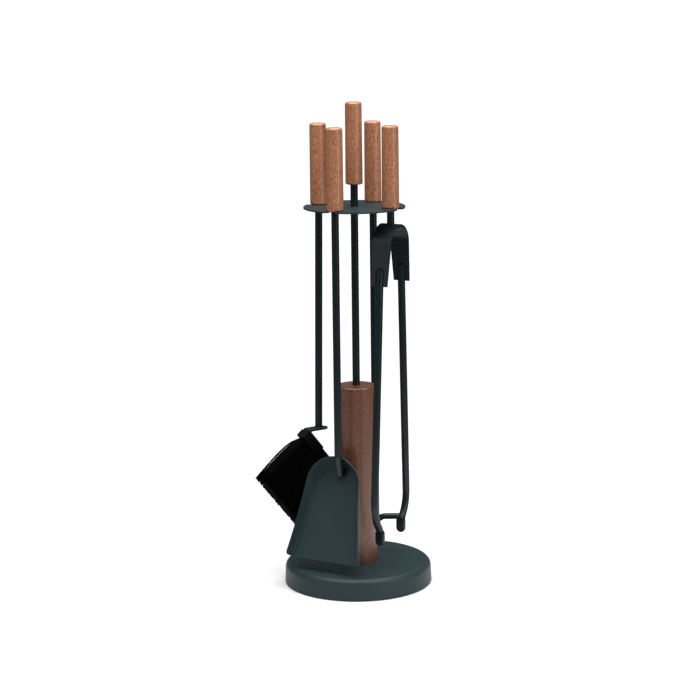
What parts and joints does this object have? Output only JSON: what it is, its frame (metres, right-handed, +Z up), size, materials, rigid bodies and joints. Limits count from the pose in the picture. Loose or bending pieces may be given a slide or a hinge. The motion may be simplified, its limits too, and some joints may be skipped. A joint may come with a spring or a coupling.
{
  "type": "fireplace tool set",
  "caption": "Free-standing round stand with a wooden column, rod and slotted rack plate, holding a hearth brush, shovel, poker and spring tongs with turned wooden handles.",
  "frame": {"origin": "centre of the base's underside, on the floor", "axes": "+Z up along the stand rod; the tools hang at +X (tongs), +Y (poker), -X (brush) and -Y (shovel)"},
  "size_m": [0.2149, 0.2008, 0.6542],
  "materials": {
    "powder_coat": "satin",
    "handle_wood": "satin lacquer",
    "column_wood": "satin lacquer",
    "ballast_iron": "as cast",
    "felt": "pressed felt",
    "zinc_steel": "zinc plated",
    "bristle": "matte",
    "block_paint": "painted matte black"
  },
  "bodies": {
    "stand": {"base_shell": "powder_coat", "base_ballast": "ballast_iron", "base_felt": "felt", "base_washer": "zinc_steel", "base_nut": "zinc_steel", "column": "column_wood", "stand_rod": "powder_coat", "rack_plate": "powder_coat", "rack_collar": "powder_coat", "stand_handle": "handle_wood"},
    "brush": {"brush_handle": "handle_wood", "brush_rod": "powder_coat", "brush_bracket": "powder_coat", "brush_block": "block_paint", "brush_bristles": "bristle", "brush_screws": "zinc_steel", "brush_weld": "powder_coat"},
    "shovel": {"shovel_handle": "handle_wood", "shovel_rod": "powder_coat", "shovel_pan": "powder_coat", "shovel_weld": "powder_coat"},
    "poker": {"poker_handle": "handle_wood", "poker_rod": "powder_coat", "poker_prong": "powder_coat", "poker_weld": "powder_coat"},
    "tongs": {"tongs_handle": "handle_wood", "tongs_rod": "powder_coat", "tongs_crown": "powder_coat", "tongs_rivet": "powder_coat"},
    "tongs_left": {"tongs_arm_left": "powder_coat", "tongs_leg_left": "powder_coat", "tongs_weld_left": "powder_coat", "tongs_foot_left": "powder_coat"},
    "tongs_right": {"tongs_arm_right": "powder_coat", "tongs_leg_right": "powder_coat", "tongs_weld_right": "powder_coat", "tongs_foot_right": "powder_coat"}
  },
  "joints": [
    {"name": "brush_pull", "type": "slide", "parent": "stand", "child": "brush", "axis": [-1, 0, 0], "range_m": [0, 0.08]},
    {"name": "shovel_pull", "type": "slide", "parent": "stand", "child": "shovel", "axis": [0, -1, 0], "range_m": [0, 0.08]},
    {"name": "poker_pull", "type": "slide", "parent": "stand", "child": "poker", "axis": [0, 1, 0], "range_m": [0, 0.08]},
    {"name": "tongs_pull", "type": "slide", "parent": "stand", "child": "tongs", "axis": [1, 0, 0], "range_m": [0, 0.08]},
    {"name": "tongs_left_flex", "type": "hinge", "parent": "tongs", "child": "tongs_left", "pos_m": [0.054, -0.02622, 0.47222], "axis": [1, 0, 0], "range_deg": [0, 3.9], "stiffness_Nm_per_rad": 28},
    {"name": "tongs_right_flex", "type": "hinge", "parent": "tongs", "child": "tongs_right", "pos_m": [0.054, 0.02539, 0.47132], "axis": [-1, 0, 0], "range_deg": [0, 3.9], "stiffness_Nm_per_rad": 28}
  ],
  "couplings": [
    {"joint": "tongs_right_flex", "follows": "tongs_left_flex", "ratio": 1}
  ]
}
